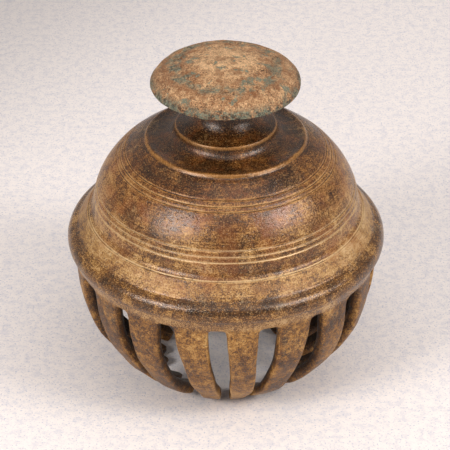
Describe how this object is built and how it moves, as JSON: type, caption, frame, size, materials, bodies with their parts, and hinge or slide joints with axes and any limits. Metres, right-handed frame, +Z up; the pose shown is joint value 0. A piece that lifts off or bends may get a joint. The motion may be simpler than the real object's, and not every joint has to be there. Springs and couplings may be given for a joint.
{
  "type": "elephant claw bell",
  "caption": "Domed bronze animal bell with inward-curving claws below its flange, a mushroom knob to tie a rope round, and an iron clapper that swings inside.",
  "frame": {"origin": "on the floor under the bell's axis, at the level of the claw tips", "axes": "+Z up along the bell's axis, -Y towards the front"},
  "size_m": [0.1128, 0.1128, 0.1243],
  "materials": {
    "bronze": "worn brown patina over cast bronze, ochre on the claws and pale along the worn edges",
    "knob_crust": "rough pitted crust on bronze, tan and rust with grey-green verdigris",
    "iron": "rusted forged iron"
  },
  "bodies": {
    "bell": {"bell_dome": "bronze", "knob_neck": "bronze", "knob_cap": "knob_crust", "clapper_staple": "iron", "claw_01": "bronze", "claw_02": "bronze", "claw_03": "bronze", "claw_04": "bronze", "claw_05": "bronze", "claw_06": "bronze", "claw_07": "bronze", "claw_08": "bronze", "claw_09": "bronze", "claw_10": "bronze", "claw_11": "bronze", "claw_12": "bronze", "claw_13": "bronze", "claw_14": "bronze", "claw_15": "bronze", "claw_16": "bronze", "claw_17": "bronze", "claw_18": "bronze"},
    "link": {"clapper_link": "iron"},
    "clapper": {"clapper_rod": "iron", "clapper_ball": "iron"}
  },
  "joints": [
    {"name": "link_swing", "type": "hinge", "parent": "bell", "child": "link", "pos_m": [0, 0, 0.0845], "axis": [1, 0, 0], "range_deg": [-12, 12]},
    {"name": "rod_swing", "type": "hinge", "parent": "link", "child": "clapper", "pos_m": [0, 0, 0.0749], "axis": [0, 1, 0], "range_deg": [-57, 57]}
  ]
}
